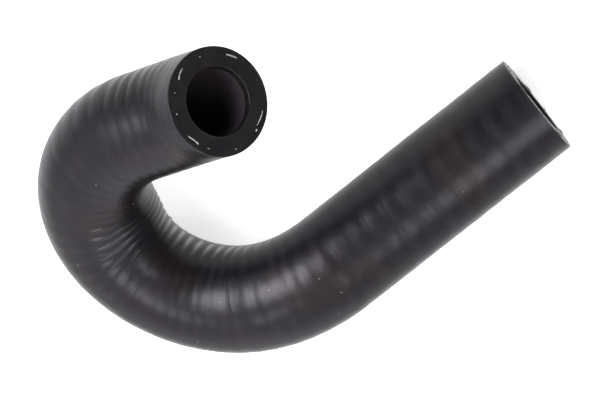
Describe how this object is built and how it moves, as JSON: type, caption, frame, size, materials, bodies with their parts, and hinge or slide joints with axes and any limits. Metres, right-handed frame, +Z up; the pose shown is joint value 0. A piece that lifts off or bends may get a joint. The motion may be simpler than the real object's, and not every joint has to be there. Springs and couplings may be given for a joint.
{
  "type": "radiator hose",
  "caption": "Moulded rubber coolant hose with a long straight arm, a sweeping U bend and a short raised arm, ribbed outside and plain inside.",
  "frame": {"origin": "bottom centre of the bounding box, on the surface that the hose lies on", "axes": "+Z up, +X the level way that the long arm's mouth faces, +Y from the long arm across the bend to the short arm"},
  "size_m": [0.1362, 0.0996, 0.0523],
  "materials": {
    "hose_rubber": "semi-matte charcoal black rubber with the ribs of a curing wrap and a little pale dust"
  },
  "bodies": {
    "root": {"hose": "hose_rubber"}
  },
  "joints": []
}
